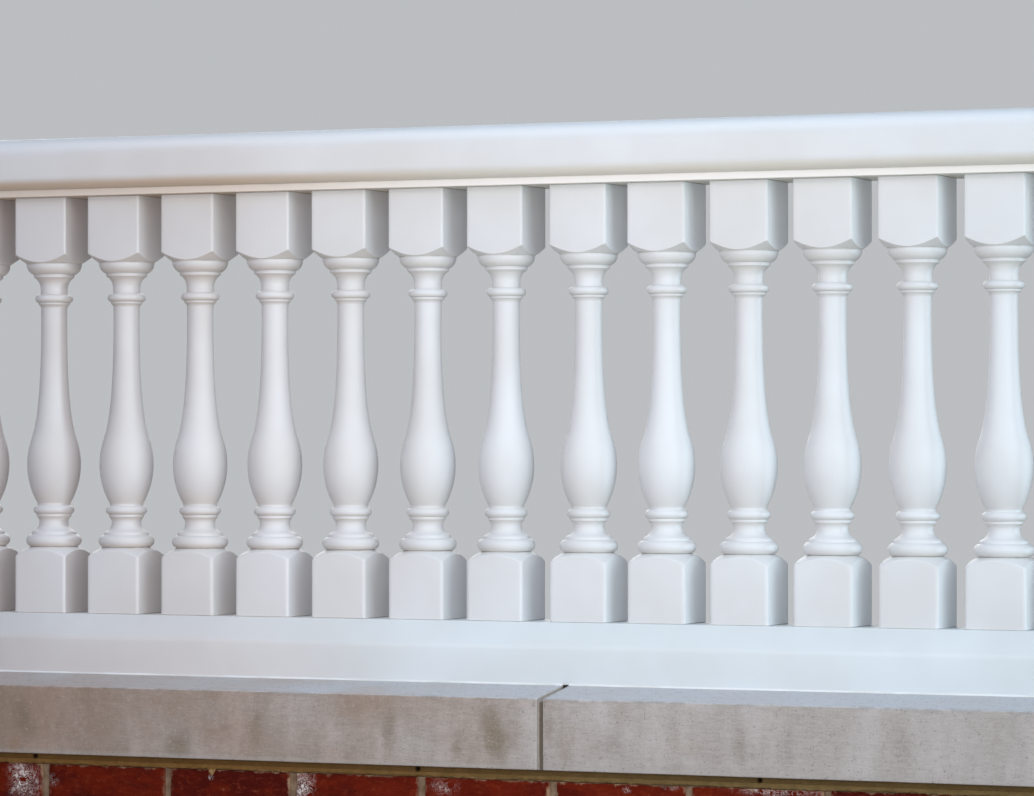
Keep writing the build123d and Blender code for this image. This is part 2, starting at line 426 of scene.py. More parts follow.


# Limestone coping: the left stone is browner and darker than the right, partly its own colour and partly
# painted shade, with marks that ran down its face
stoneLook = {
    "brown": (0.412, 0.283, 0.216), "grey": (0.545, 0.503, 0.482),
    "top": (0.54, 0.56, 0.59), "topLeft": (0.49, 0.42, 0.385),
    "stain": (0.205, 0.155, 0.098), "rust": (0.31, 0.17, 0.085),
    "freshAndHighlight": (0.56, 0.53, 0.49), "worn": (0.13, 0.115, 0.098),
    "speck": (0.22, 0.195, 0.17), "speckSize": 2.5,
    "roughness": 0.86,
    "streaks": ((58.0, 0.52, 0.36), (21.0, 0.50, 0.16)),    # spacing, cover and strength
}
stoneStains = (                   # X and height above the foot, half width and half height, strength
    (-68, 52, 48, 70, 0.36), (-82, 64, 16, 28, 0.52), (-70, 36, 18, 32, 0.74), (-131, 30, 11, 26, 0.55),
    (-845, 48, 22, 34, 0.62), (-583, 18, 24, 26, 0.60), (-457, 50, 14, 40, 0.40), (-240, 52, 13, 42, 0.48),
    (12, 62, 9, 26, 0.42), (38, 20, 11, 12, 0.35), (100, 36, 26, 28, 0.30), (302, 44, 14, 34, 0.34),
    (370, 40, 18, 36, 0.30), (540, 46, 22, 36, 0.24),
)
stoneRust = (-862, 14, 12, 14, 0.5)


def copingStone():
    look = stoneLook
    front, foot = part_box("coping_stone_left")[0].yz
    material, shader, place = startMaterial("limestone")
    at, upright = split(place), normalAt(place)["Z"]

    # from brown at the left to grey at the right, broken up by a cloud: the stones' own colours, with painted
    # shade towards the left
    tone = cloud(stretched(place, (1, 1, 1.6)), 130.0, 4.0)
    along = plus(at["X"], times(less(tone, 0.5), 1.5))
    colour = blend(ramp(along, -1.1, 0.35), look["brown"], look["grey"])

    # a faint weave of tool marks, which also breaks up the stains
    upDown = cloud(stretched(place, (1, 1, 0.35)), 3.1, 2.0, 0.5, 0.8)
    levelMarks = cloud(stretched(place, (0.14, 1, 1)), 2.3, 3.0, 0.6, 0.8)
    tooling = plus(times(upDown, 0.6), times(levelMarks, 1.4))
    weave = ramp(tooling, 0.8, 1.15, 0.7, 1.0)

    # marks that run down, wide and narrow, fainter on the grey stone
    fading = ramp(along, -0.2, 0.5, 1.0, 0.62)
    for spacing, cover, strength in look["streaks"]:
        streak = useGroup(streakGroup, place, {"Spacing": spacing, "Cover": cover})["Mask"]
        colour = blend(times(streak, fading, weave, strength), colour, look["stain"])

    # single stains on the front face
    stains = [(stain, look["stain"]) for stain in stoneStains] + [(stoneRust, look["rust"])]
    for (x, height, reachX, reachZ, strength), stainColour in stains:
        centre, reach = (x * mm, front, foot + height * mm), (reachX * mm, 0.03, reachZ * mm)
        colour = blend(times(patchAt(place, centre, reach, 0.85, 20.0), weave, strength), colour, stainColour)

    # the top, a cooler grey than the face and darker and browner at the left with painted shade, then the
    # pale arrises, worn stone with a painted highlight
    top = layer(
        look["topLeft"], look, (ramp(along, -0.9, -0.1), "top"),
        (ramp(cloud(place, 75.0, 5.0), 0.35, 0.7, 0.0, 0.3), "grey"))
    colour = blend(ramp(upright, 0.35, 0.8), colour, top)
    ridge = ramp(attribute(place, "ridge"), 0.03, 0.3)
    atJoint = ramp(calc("ABSOLUTE", less(at["X"], (jointLow.x + jointHigh.x) / 2)), 8 * mm, 5.5 * mm)
    # painted highlight: pale arrises near the joint and along the foot of the face, partly worn stone
    freshAndHighlight = times(ridge, atJoint, ramp(cloud(place, 9.0), 0.3, 0.65, 0.05, 0.4))
    lowArris = times(ridge, ramp(at["Z"], foot + 12 * mm, foot + 4 * mm, 0.0, 0.45))
    ragged = ramp(cloud(stretched(place, (0.3, 1, 1)), 7.0, 5.0), 0.44, 0.6, 0.0, 0.38)
    worn = times(ridge, ragged, ramp(at["Z"], foot + 60 * mm, foot + 90 * mm), less(1.0, atJoint))
    colour = layer(colour, look, (calc("MAXIMUM", freshAndHighlight, lowArris), "freshAndHighlight"), (worn, "worn"))

    # dark and pale specks
    grain = grainOf(place, look["speckSize"])["Height"]
    colour = layer(
        colour, look,
        (times(ramp(grain, 0.44, 0.33), 0.7), "speck"),
        (times(ramp(grain, 0.55, 0.68), 0.45), "freshAndHighlight"),
        (ramp(tooling, 0.8, 1.2, 0.0, 0.13), "speck"))
    roughness = ramp(tone, 0.3, 0.7, look["roughness"] - 0.06, look["roughness"] + 0.06)
    wearShader(shader, colour, roughness, plus(times(grain, 0.5), times(tooling, 0.08)))
    return material


def roughMortar(name, look):
    # sandy mortar: light and dark parts, grains, and on the bed painted light in its upper part with a band
    # of painted shade right under what overhangs it
    material, shader, place = startMaterial(name)
    at = split(place)
    grain = grainOf(place, look["sandSize"])
    colour = layer(
        look["dark"], look,
        (ramp(cloud(place, look["cloudSize"], 4.0), 0.35, 0.68), "light"),
        (times(grain["Speckle"], 0.3), "sand"))
    if "upright" in look:
        # on the joint: darker upright faces, and a pale band at its left edge that is painted light, the lit
        # end of the left stone
        ragged = times(less(cloud(place, 6.0), 0.5), 0.0016)
        edge = ramp(plus(at["X"], ragged), look["edgePlace"], look["edgePlace"] - 0.5 * mm)
        colour = layer(colour, look, (ramp(normalAt(place)["Z"], 0.6, 0.2), "upright"), (edge, "edge"))
    if "shadeTop" in look:
        top = look["shadeTop"]
        level = plus(at["Z"], times(less(cloud(place, 14.0), 0.5), 0.006))
        # painted light: the upper part of the bed is made paler, lifting the shade that the coping casts on
        # it
        colour = layer(colour, look, (ramp(level, top - 11.5 * mm, top - 8 * mm, 0.0, 0.38), "upperLight"))
        # warmer towards the left: partly the mortar's own change along the wall, partly painted light, the
        # warmer cast of the light at the left end
        colour = blend(0.5, colour, blend(ramp(at["X"], -0.6, 0.3), look["left"], look["right"]))
        crumbs = ramp(cloud(place, 4.0), 0.42, 0.6, 0.1, 0.8)
        crumbs = times(ramp(level, top - 14.5 * mm, top - 16.5 * mm), crumbs)
        shade = times(ramp(level, top - look["shadeDeep"] * mm, top), 0.5)
        colour = layer(colour, look, (crumbs, "crumb"), (shade, "shade"))
    # painted shade: dark patches at the holes, standing in for the shade inside them
    for hole in look.get("holes", ()):
        colour = layer(colour, look, (patchAt(place, hole, look["holeReach"], 0.2, 4.0), "hole"))
    lumps = cloud(place, 7.0, 4.0)
    height = plus(times(grain["Height"], 0.7), times(lumps, 1.2))
    wearShader(shader, colour, ramp(lumps, 0.3, 0.7, 0.86, 0.96), height)
    shader.inputs["Specular IOR Level"].default_value = 0.15
    return material


weepHoles = {"places": (-838, -203, 324, 905), "drop": 5.4}     # X, and how far under the top of the bed
jointMortarLook = {
    "dark": (0.15, 0.125, 0.095), "light": (0.27, 0.235, 0.19), "sand": (0.33, 0.30, 0.25),
    # the pale edge colour is painted light: the lit end of the left stone laid over the joint's left side
    "upright": (0.175, 0.145, 0.11), "edge": (0.50, 0.455, 0.40), "edgePlace": jointLow.x + 1.9 * mm,
    "hole": (0.006, 0.005, 0.004), "holeReach": (0.016, 0.016, 0.02),
    "holes": [((jointLow.x + jointHigh.x) / 2, railLow.y - 4 * mm, jointHigh.z - 9 * mm)],
    "cloudSize": 35.0, "sandSize": 1.4,
}
bedMortarLook = {
    "dark": (0.165, 0.088, 0.027), "light": (0.29, 0.168, 0.062), "sand": (0.37, 0.24, 0.11),
    "left": (0.235, 0.11, 0.022), "right": (0.178, 0.142, 0.058), "upperLight": (0.42, 0.255, 0.10),
    "crumb": (0.43, 0.28, 0.14), "shade": (0.11, 0.065, 0.03),
    "shadeTop": bedHigh.z, "shadeDeep": 2.6,
    "hole": (0.02, 0.012, 0.008), "holeReach": (0.0052, 0.006, 0.0052),
    "holes": [(x * mm, bedLow.y, bedHigh.z - weepHoles["drop"] * mm) for x in weepHoles["places"]],
    "cloudSize": 24.0, "sandSize": 1.5,
}
brickMortarLook = {
    "dark": (0.17, 0.098, 0.052), "light": (0.30, 0.205, 0.135), "sand": (0.38, 0.29, 0.21),
    "cloudSize": 14.0, "sandSize": 1.4,
}
coreLook = {
    "dark": (0.23, 0.215, 0.195), "light": (0.33, 0.315, 0.29), "sand": (0.40, 0.385, 0.36),
    "cloudSize": 55.0, "sandSize": 3.4,
}

# Brick: dark red, each a little different, with mortar smears on the upper edge and white lime bloom
brickLook = {
    "red": (0.142, 0.0125, 0.004), "deep": (0.072, 0.0065, 0.004), "orange": (0.215, 0.036, 0.014),
    "smear": (0.37, 0.235, 0.145), "lime": (0.84, 0.75, 0.70),
    "grainSize": 1.6,
}
limeBloom = (                     # X, depth under the wall's top, half width, half height, strength
    (-858, 26, 28, 32, 1.0), (-806, 24, 10, 10, 0.4), (-538, 12, 5, 5, 0.75), (-388, 20, 18, 28, 1.0),
    (-160, 14, 24, 14, 0.38), (124, 9, 7, 5, 0.7), (190, 3, 16, 4, 0.6), (350, 4, 64, 7, 0.7),
)


def brickFace():
    look = brickLook
    material, shader, place = startMaterial("brick")
    within = split(attribute(place, "within", "Vector"))    # -1 to 1 across each brick
    burnt = cloud(stretched(place, (0.6, 1, 1.3)), 34.0, 5.0, 0.58, 0.5)
    mixed = plus(times(attribute(place, "tone"), 0.42), times(burnt, 0.85))
    fleck = cloud(stretched(place, (0.5, 1, 1)), 5.0, 5.0, 0.7)
    grain = grainOf(place, look["grainSize"])["Height"]
    colour = layer(
        look["deep"], look,
        (ramp(mixed, 0.42, 0.72), "red"), (ramp(mixed, 0.68, 1.0, 0.0, 0.7), "orange"),
        (ramp(fleck, 0.52, 0.66, 0.0, 0.45), "orange"),
        (ramp(fleck, 0.46, 0.34, 0.0, 0.4), "deep"),
        (ramp(fleck, 0.68, 0.76, 0.0, 0.45), "smear"),
        (times(ramp(grain, 0.55, 0.68), 0.35), "orange"),
        (times(ramp(grain, 0.42, 0.3), 0.6), "deep"))

    # mortar smeared over the edges, most at the top, but not round the cut ends of the wall
    ragged = less(cloud(place, 16.0, 5.0, 0.65), 0.5)
    topEdge = ramp(plus(within["Z"], times(ragged, 0.9)), 0.93, 1.1)
    lowEdge = ramp(less(times(ragged, 0.8), within["Z"]), 1.0, 1.15)
    endEdge = ramp(plus(calc("ABSOLUTE", within["X"]), times(ragged, 0.3)), 0.955, 1.02)
    cutEnd = leafHigh.x - 2 * mm
    endEdge = times(endEdge, ramp(calc("ABSOLUTE", split(place)["X"]), cutEnd, cutEnd - 1 * mm))
    patchy = ramp(cloud(place, 60.0), 0.35, 0.6, 0.3, 0.95)
    colour = layer(colour, look, (times(calc("MAXIMUM", topEdge, lowEdge, endEdge), patchy), "smear"))

    # lime bloom: rings and scum where water has come out
    scum = cloud(place, 11.0, 6.0, 0.7, 0.6)
    ringed = ramp(calc("ABSOLUTE", less(scum, 0.49)), 0.028, 0.008)
    lime = calc("MAXIMUM", times(ringed, 0.75), ramp(scum, 0.55, 0.6))
    for x, depth, reachX, reachZ, strength in limeBloom:
        centre, reach = (x * mm, leafLow.y, leafHigh.z - depth * mm), (reachX * mm, 0.04, reachZ * mm)
        patch = patchAt(place, centre, reach, 1.0, 14.0)
        colour = layer(colour, look, (times(patch, lime, strength), "lime"))
    anywhere = times(ramp(cloud(place, 210.0, 2.0), 0.6, 0.72), lime, 0.5)
    colour = layer(colour, look, (anywhere, "lime"))
    height = plus(times(grain, 0.7), times(cloud(stretched(place, (0.5, 1, 2.2)), 6.0), 0.6))
    wearShader(shader, colour, ramp(burnt, 0.3, 0.7, 0.74, 0.9), height)
    shader.inputs["Specular IOR Level"].default_value = 0.05
    return material


def sealantRubber():
    material, shader, place = startMaterial("sealant")
    colour = blend(ramp(cloud(place, 60.0), 0.4, 0.7), (0.86, 0.87, 0.87), (0.74, 0.735, 0.71))
    wearShader(shader, colour, ramp(cloud(place, 20.0), 0.3, 0.7, 0.34, 0.46), cloud(place, 5.0), 0.4)
    return material


stoneMaterial = copingStone()
bedMaterial = roughMortar("bed_mortar", bedMortarLook)
brickMortarMaterial = roughMortar("brick_mortar", brickMortarLook)
brickMaterial = brickFace()
sealantMaterial = sealantRubber()
print("stone, mortar and brick materials made")

# Balusters: heights run from the foot of the base block, or down from the top of the cap block
turning = {
    "sides": 64,
    "softCorner": 0.8, "softTurn": 28,      # rounding of the small corners, and from how many degrees on
    "baseArrisRadius": 4.5, "baseArchRadius": 3.6, "capArrisRadius": 3.0, "capArchRadius": 1.3,
    "seatChamfer": 0.9,
    "baseCorner": 85.2, "baseShoulder": 15.6, "baseSwell": 1.0,
    "capCorner": 86.5, "capShoulder": 13.9,
    "baseRing": 42.7, "baseRingRoot": 35.6, "baseRingRise": 18.4,
    "nose": 34.4, "noseTop": 32.2, "noseRise": 5.4, "noseSwell": 0.8,
    "throat": 22.3, "throatRise": 13.6, "scotiaRise": 9.0,
    "footFillet": 26.9, "footFilletRise": 3.4,
    "bead": 31.5, "beadRoot": 26.8, "beadRise": 13.2,
    "footNeck": 25.4, "footNeckRise": 3.4,
    "belly": 41.2, "bellyRise": 59.8, "crown": 34.9, "crownRise": 39.0,
    "shaft": 19.9, "flareReach": 23.0, "taperReach": 120.0,
    "shaftTop": 20.0, "shaftStraight": 17.0,
    "coveRise": 7.2, "coveSwell": 1.2,
    "collarFillet": 24.2, "collarFilletRise": 2.8,
    "collar": 29.2, "collarRoot": 24.6, "collarRise": 12.2,
    "capNeck": 20.7, "capNeckRise": 9.9,
    "cavettoRise": 16.8, "cavettoSwell": 2.7,
    "capFillet": 31.2, "capFilletRise": 4.6,
    "capRing": 42.4, "capRingRoot": 32.8, "capRingRise": 16.2, "capRingSwell": 2.8,
    "turnSpread": 0.3,            # degrees that a block may be turned out of line
}
turnedPaint = {"brushStretch": (1.0, 1.0, 2.5), "undersideShade": 0.3}


def balusterOutline(top):
    t = turning
    # from the base shoulder up to the widest place of the belly
    z = t["baseCorner"] + t["baseShoulder"]
    points = [(t["baseRingRoot"], z)]
    points += halfRound(t["baseRingRoot"], t["baseRing"], z, z + t["baseRingRise"], 9)
    z += t["baseRingRise"]
    nose = (t["noseTop"], z + t["noseRise"])
    points += [(t["nose"], z)] + bulge((t["nose"], z), nose, -t["noseSwell"], 4)
    throat = (t["throat"], nose[1] + t["throatRise"])
    points += uprightArc(throat, nose, 9)[-2::-1] + [throat]
    z = throat[1] + t["scotiaRise"]
    points += uprightArc(throat, (t["footFillet"], z), 6)
    z += t["footFilletRise"]
    points += [(t["footFillet"], z), (t["beadRoot"], z)]
    points += halfRound(t["beadRoot"], t["bead"], z, z + t["beadRise"])
    z += t["beadRise"]
    points += [(t["footNeck"], z), (t["footNeck"], z + t["footNeckRise"])]
    z += t["footNeckRise"]
    belly = (t["belly"], z + t["bellyRise"])
    points += uprightArc(belly, (t["footNeck"], z), 14)[-2::-1] + [belly]
    points += uprightArc(belly, (t["crown"], belly[1] + t["crownRise"]), 8)
    turnHigh = 2 * math.atan((t["belly"] - t["crown"]) / t["crownRise"])

    # heights of the members under the cap block
    heights = [top - t["capCorner"] - t["capShoulder"]]
    for member in ("capRing", "capFillet", "cavetto", "capNeck", "collar", "collarFillet", "cove"):
        heights.append(heights[-1] - t[member + "Rise"])
    ringTop, filletTop, cavettoTop, neckTop, collarTop, collarFoot, coveTop, shaftTop = heights

    # the hollow taper from the belly into the shaft
    start = Vector((*points[-1], 0))
    leave = Vector((-math.sin(turnHigh), math.cos(turnHigh), 0)) * t["flareReach"]
    end = Vector((t["shaft"], shaftTop - t["shaftStraight"], 0))
    taper = interpolate_bezier(start, start + leave, end - Vector((0, t["taperReach"], 0)), end, 22)
    points += [(p.x, p.y) for p in taper[1:]]

    # shaft, cove, collar, neck, cavetto and the ring under the cap block
    points += [(t["shaftTop"], shaftTop)]
    points += bulge(points[-1], (t["collarFillet"], coveTop), t["coveSwell"], 4)
    points += [(t["collarFillet"], collarFoot), (t["collarRoot"], collarFoot)]
    points += halfRound(t["collarRoot"], t["collar"], collarFoot, collarTop)
    points += [(t["capNeck"], collarTop), (t["capNeck"], neckTop)]
    points += bulge(points[-1], (t["capFillet"], cavettoTop), t["cavettoSwell"], 7)
    points += [(t["capFillet"], filletTop), (t["capRingRoot"], filletTop)]
    points += bulge(points[-1], (t["capRing"], ringTop), -t["capRingSwell"], 7) + [(t["capRing"], ringTop)]
    return [p for i, p in enumerate(points) if i == 0 or math.dist(p, points[i - 1]) > slack]


def growBlock(bm, ring, neck, half, corner, rise, swell, seat):
    # carries a round edge out over the shoulder to a square, and then straight to the block's seat
    reach = half * 2 ** 0.5
    way = 1 if seat > corner else -1
    for share in (0.2, 0.4, 0.6, 0.8, 1.0, None):
        grown = bmesh.ops.extrude_edge_only(bm, edges=ring)["geom"]
        verts = vertsOf(grown)
        ring = [e for e in grown if isinstance(e, bmesh.types.BMEdge) and all(v in verts for v in e.verts)]
        for vert in verts:
            if share is None:
                vert.co.z = seat * mm
                continue
            angle = math.atan2(vert.co.y, vert.co.x)
            edge = half / max(abs(math.cos(angle)), abs(math.sin(angle)))
            radius = neck + (edge - neck) * share
            out = (radius - neck) / (reach - neck)
            height = corner - way * (rise * (1 - out) + 4 * swell * out * (1 - out))
            vert.co = Vector((math.cos(angle) * radius, math.sin(angle) * radius, height)) * mm
    bmesh.ops.contextual_create(bm, geom=ring)


def softenBlock(bm, half, low, high, seat, arrisRadius, archRadius):
    # rounds the upright arrises, then the edges of the seat, then the arched edges
    wall = (half - slack) * mm

    def isInside(edge):
        return all(low - slack < v.co.z / mm < high + slack for v in edge.verts)

    def isUpright(edge):
        return abs(edge.verts[0].co.z - edge.verts[1].co.z) > 10 * mm

    def isSeat(edge):
        return all(abs(v.co.z / mm - seat) < slack for v in edge.verts)

    arrises = [e for e in bm.edges if isInside(e) and isUpright(e)]
    arrises = [e for e in arrises if all(min(abs(v.co.x), abs(v.co.y)) > wall for v in e.verts)]
    soften(bm, arrises, arrisRadius, 4)
    rim = [e for e in sharpEdges(bm) if isInside(e) and not isUpright(e)]
    rim = [e for e in rim if all(math.hypot(v.co.x, v.co.y) > wall for v in e.verts)]
    soften(bm, [e for e in rim if isSeat(e)], turning["seatChamfer"], 1)
    soften(bm, [e for e in rim if e.is_valid and not isSeat(e)], archRadius, 3)


def balusterMesh(half, height):
    t = turning
    bm = bmesh.new()
    wire = drawOutline(bm, balusterOutline(height), 0)
    corners = [v for v in wire[1:-1] if v.calc_edge_angle(0) > math.radians(t["softTurn"])]
    soften(bm, corners, t["softCorner"], 2, "VERTICES")
    bmesh.ops.spin(
        bm, geom=bm.verts[:] + bm.edges[:], cent=(0, 0, 0), axis=(0, 0, 1), angle=2 * math.pi,
        steps=t["sides"], use_merge=True, use_duplicate=False)
    bmesh.ops.remove_doubles(bm, verts=bm.verts, dist=slack * mm)
    rings = [e for e in bm.edges if e.is_boundary]
    middle = height * mm / 2
    baseTop, capFoot = t["baseCorner"] + t["baseShoulder"], height - t["capCorner"] - t["capShoulder"]
    lowRing, highRing = [[e for e in rings if (e.verts[0].co.z > middle) == upper] for upper in (False, True)]
    growBlock(bm, lowRing, t["baseRingRoot"], half, t["baseCorner"], t["baseShoulder"], t["baseSwell"], 0)
    growBlock(bm, highRing, t["capRing"], half, height - t["capCorner"], t["capShoulder"], 0, height)
    tidyMesh(bm)
    softenBlock(bm, half, 0, baseTop, 0, t["baseArrisRadius"], t["baseArchRadius"])
    softenBlock(bm, half, capFoot, height, height, t["capArrisRadius"], t["capArchRadius"])
    tidyMesh(bm)
    return bm


def makeBalusters():
    paint = whitePaint("white_paint_turned", **turnedPaint)
    low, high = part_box("baluster_01")
    bm = balusterMesh((high.x - low.x) / 2 / mm, (high.z - low.z) / mm)
    for name in sorted(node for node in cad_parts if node.startswith("baluster_")):
        low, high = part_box(name)
        copy = bm.copy()
        turn = math.radians(rng.uniform(-1, 1) * turning["turnSpread"])
        bmesh.ops.rotate(copy, verts=copy.verts, cent=(0, 0, 0), matrix=Matrix.Rotation(turn, 3, "Z"))
        bmesh.ops.translate(copy, verts=copy.verts, vec=((low.x + high.x) / 2, (low.y + high.y) / 2, low.z))
        finishPiece(copy, "turned_" + name, paint, (name,))
    bm.free()


makeBalusters()
print("balusters made")

# Rails
topRailShape = {
    "filletWidth": 127.0, "filletHeight": 10.9, "overhang": 21.0, "underRadius": 20.0,
    "sideHeight": 24.5, "shoulderRadius": 34.0, "crownRise": 2.0,
    "softEdge": 1.0, "waver": 0.35, "waverSize": 260.0, "spacing": 60.0,
}
bottomRailShape = {
    "ledge": 4.5, "slopeHeight": 35.5, "arrisRadius": 18.0,
    "softEdge": 1.2, "waver": 0.3, "waverSize": 240.0, "spacing": 60.0,
}
railPaint = {
    "brushStretch": (0.08, 1.0, 1.0), "undersideShade": 0.8, "footBandTop": railHigh.z + 20 * mm,
    "filletTop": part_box("top_rail")[0].z + topRailShape["filletHeight"] * mm,
}
railMaterial = whitePaint("white_paint_rail", **railPaint)


def barFromOutline(points, left, right):
    # half of a section, from the middle of its foot round to the middle of its top, mirrored and drawn out
    bm = bmesh.new()
    drawOutline(bm, points, 1)
    bmesh.ops.mirror(bm, geom=bm.verts[:] + bm.edges[:], axis="Y", merge_dist=slack * mm)
    bmesh.ops.remove_doubles(bm, verts=bm.verts, dist=slack * mm)
    end = bmesh.ops.contextual_create(bm, geom=bm.edges[:])["faces"]
    bmesh.ops.translate(bm, verts=bm.verts, vec=(left, 0, 0))
    drawOut(bm, end, right - left)
    return bm


def makeRail(node, name, points, shape):
    low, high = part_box(node)
    bm = barFromOutline(points, low.x, high.x)
    soften(bm, sharpEdges(bm), shape["softEdge"], 3)
    cutUp(bm, 0, low.x, high.x, shape["spacing"])
    bm.normal_update()
    for vert in bm.verts:
        # a slight unevenness, only ever inwards
        vert.co -= vert.normal * shape["waver"] * mm * (0.5 + 0.5 * lump(vert.co, shape["waverSize"]))
    finishPiece(bm, name, railMaterial, (node,), 30)


def topRailOutline():
    s = topRailShape
    foot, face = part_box("top_rail")[0].z / mm, s["filletWidth"] / 2
    side, under, shoulder = face + s["overhang"], s["underRadius"], s["shoulderRadius"]
    ledge, quarter = foot + s["filletHeight"], 1 - math.sqrt(0.5)
    inner, top = side - shoulder, ledge + under + s["sideHeight"] + shoulder
    points = [(0, foot), (face, foot), (face, ledge), (side - under, ledge)]
    points += bulge(points[-1], (side, ledge + under), -under * quarter, 10) + [(side, top - shoulder)]
    points += bulge(points[-1], (inner, top), -shoulder * quarter, 14)
    rises = (0, 0, s["crownRise"], s["crownRise"])
    crown = [Vector((inner * share, top + rise, 0)) for share, rise in zip((1, 0.66, 0.34, 0), rises)]
    return points + [(p.x, p.y) for p in interpolate_bezier(*crown, 9)[1:]]


def bottomRailOutline():
    s = bottomRailShape
    foot, top, face = railLow.z / mm, railHigh.z / mm, railHigh.y / mm
    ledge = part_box("baluster_01")[1].y / mm + s["ledge"]
    # the arris between the upright face and the slope is an arc that touches both
    slope = Vector((ledge - face, s["slopeHeight"])).normalized()
    turn, corner = math.acos(slope.y), Vector((face, top - s["slopeHeight"]))
    reach = s["arrisRadius"] * math.tan(turn / 2)
    start, end = corner - Vector((0, reach)), corner + slope * reach
    arris = bulge(start, end, s["arrisRadius"] * (math.cos(turn / 2) - 1), 6)
    return [(0, foot), (face, foot), start, *arris, (ledge, top), (0, top)]


makeRail("top_rail", "moulded_top_rail", topRailOutline(), topRailShape)
makeRail("bottom_rail", "weathered_bottom_rail", bottomRailOutline(), bottomRailShape)
print("rails made")

# Coping stones with worn arrises
stoneShape = {
    "faceHeight": 102.6, "arrisRadius": 3.0, "softEdge": 1.8,
    "spacing": 9.0, "levelSpacing": 14.0, "deepSpacing": 16.0,
    "unevenDepth": 0.5, "unevenSize": 45.0,
    "wearDepth": 1.1, "wearSize": 20.0, "crumbSize": 5.0, "wearReach": 5.0,
}


def makeStone(node):
    s = stoneShape
    low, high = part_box(node)
    foot, top, face, seat = low.z / mm, high.z / mm, high.y / mm, railHigh.y / mm
    arris = foot + s["faceHeight"]

    def isArris(edge):
        return all(max(abs(v.co.z / mm - arris), abs(abs(v.co.y / mm) - face)) < slack for v in edge.verts)

    bm = barFromOutline([(0, foot), (face, foot), (face, arris), (seat, top), (0, top)], low.x, high.x)
    soften(bm, [e for e in sharpEdges(bm) if isArris(e)], s["arrisRadius"], 4)
    soften(bm, sharpEdges(bm, 40), s["softEdge"], 2)
    cutUp(bm, 0, low.x, high.x, s["spacing"])
    cutUp(bm, 2, low.z, arris * mm, s["levelSpacing"])
    for way in (-mm, mm):
        cutUp(bm, 1, way * seat, way * face, s["deepSpacing"])
    bm.normal_update()
    for vert in bm.verts:
        depth = s["unevenDepth"] * (0.5 + 0.5 * lump(vert.co, s["unevenSize"]))
        away = math.hypot(abs(vert.co.y) / mm - face, vert.co.z / mm - arris)
        if away < s["wearReach"]:
            wear = lump(vert.co, s["wearSize"]) + 0.45 * lump(vert.co, s["crumbSize"]) + 0.1
            depth += s["wearDepth"] * max(0.0, wear) * (1 - away / s["wearReach"])
        vert.co -= vert.normal * depth * mm
        vert.co.z = max(vert.co.z, low.z)
        vert.co.x = min(max(vert.co.x, low.x), high.x)
    finishPiece(bm, node.replace("coping_stone", "worn_coping"), stoneMaterial, (node,), 50)


makeStone("coping_stone_left")
makeStone("coping_stone_right")
print("coping made")

# Brickwork of the low wall, in running bond
brickwork = {
    "pitch": 207.4, "joint": 10.0, "height": 57.7, "course": 67.7,
    "topJointPlace": 10.6,        # X of a head joint in the top course of the front
    "backShift": 61.0,            # how far the back's bond is shifted from the front's
    "shortest": 18.0,
    "edgeRadius": 1.8, "cells": (15.0, 24.0, 15.0),
    "faceDepth": 0.8, "faceSize": 24.0,
    "chipDepth": 3.2, "chipSize": 15.0, "crumbSize": 6.0, "chipReach": 5.0,
    "placeSpread": 0.7,
    "seenTones": (0.6, 0.4, 0.42, 0.1, 0.5, 0.56, 0.62, 0.6),   # top course of the front, from the left
    "jointSetback": 3.6, "jointCells": (11.0, 18.0, 9.0), "jointDepth": 0.9, "jointSize": 13.0,
}


def layBrick(target, low, high, tone):
    # one brick with rough faces and chipped arrises, added to the target mesh
    w = brickwork
    size, centre = high - low, (low + high) / 2
    bm = bmesh.new()
    slab(bm, low, high)
    for axis in range(3):
        cutUp(bm, axis, low[axis], high[axis], w["cells"][axis])
    soften(bm, sharpEdges(bm, 60), w["edgeRadius"], 2)
    toneLayer = bm.verts.layers.float.new("tone")
    withinLayer = bm.verts.layers.float_vector.new("within")
    bm.normal_update()
    for vert in bm.verts:
        off = vert.co - centre
        vert[toneLayer] = tone
        vert[withinLayer] = Vector([off[i] / (size[i] / 2) for i in range(3)])
        edge = sorted(size[i] / 2 - abs(off[i]) for i in range(3))[1] / (w["chipReach"] * mm)
        depth = w["faceDepth"] * (0.5 + 0.5 * lump(vert.co, w["faceSize"]))
        if edge < 1:
            chip = lump(vert.co, w["chipSize"]) + 0.5 * lump(vert.co, w["crumbSize"])
            depth += w["chipDepth"] * max(0.0, chip - 0.05) * (1 - edge)
        vert.co -= vert.normal * depth * mm
    mesh = toMesh(bm, "brick")
    target.from_mesh(mesh)
    bpy.data.meshes.remove(mesh)


def brickRow(left, right, firstJoint):
    # the ends of each brick in a course, clipped to the ends of the run
    w = brickwork
    joint = firstJoint - w["pitch"] * math.ceil((firstJoint - left) / w["pitch"])
    row = []
    while joint < right:
        start, end = max(left, joint + w["joint"] / 2), min(right, joint + w["pitch"] - w["joint"] / 2)
        if end - start > w["shortest"]:
            row.append((start, end))
        joint += w["pitch"]
    return row


def slip():
    return rng.uniform(-1, 1) * brickwork["placeSpread"]


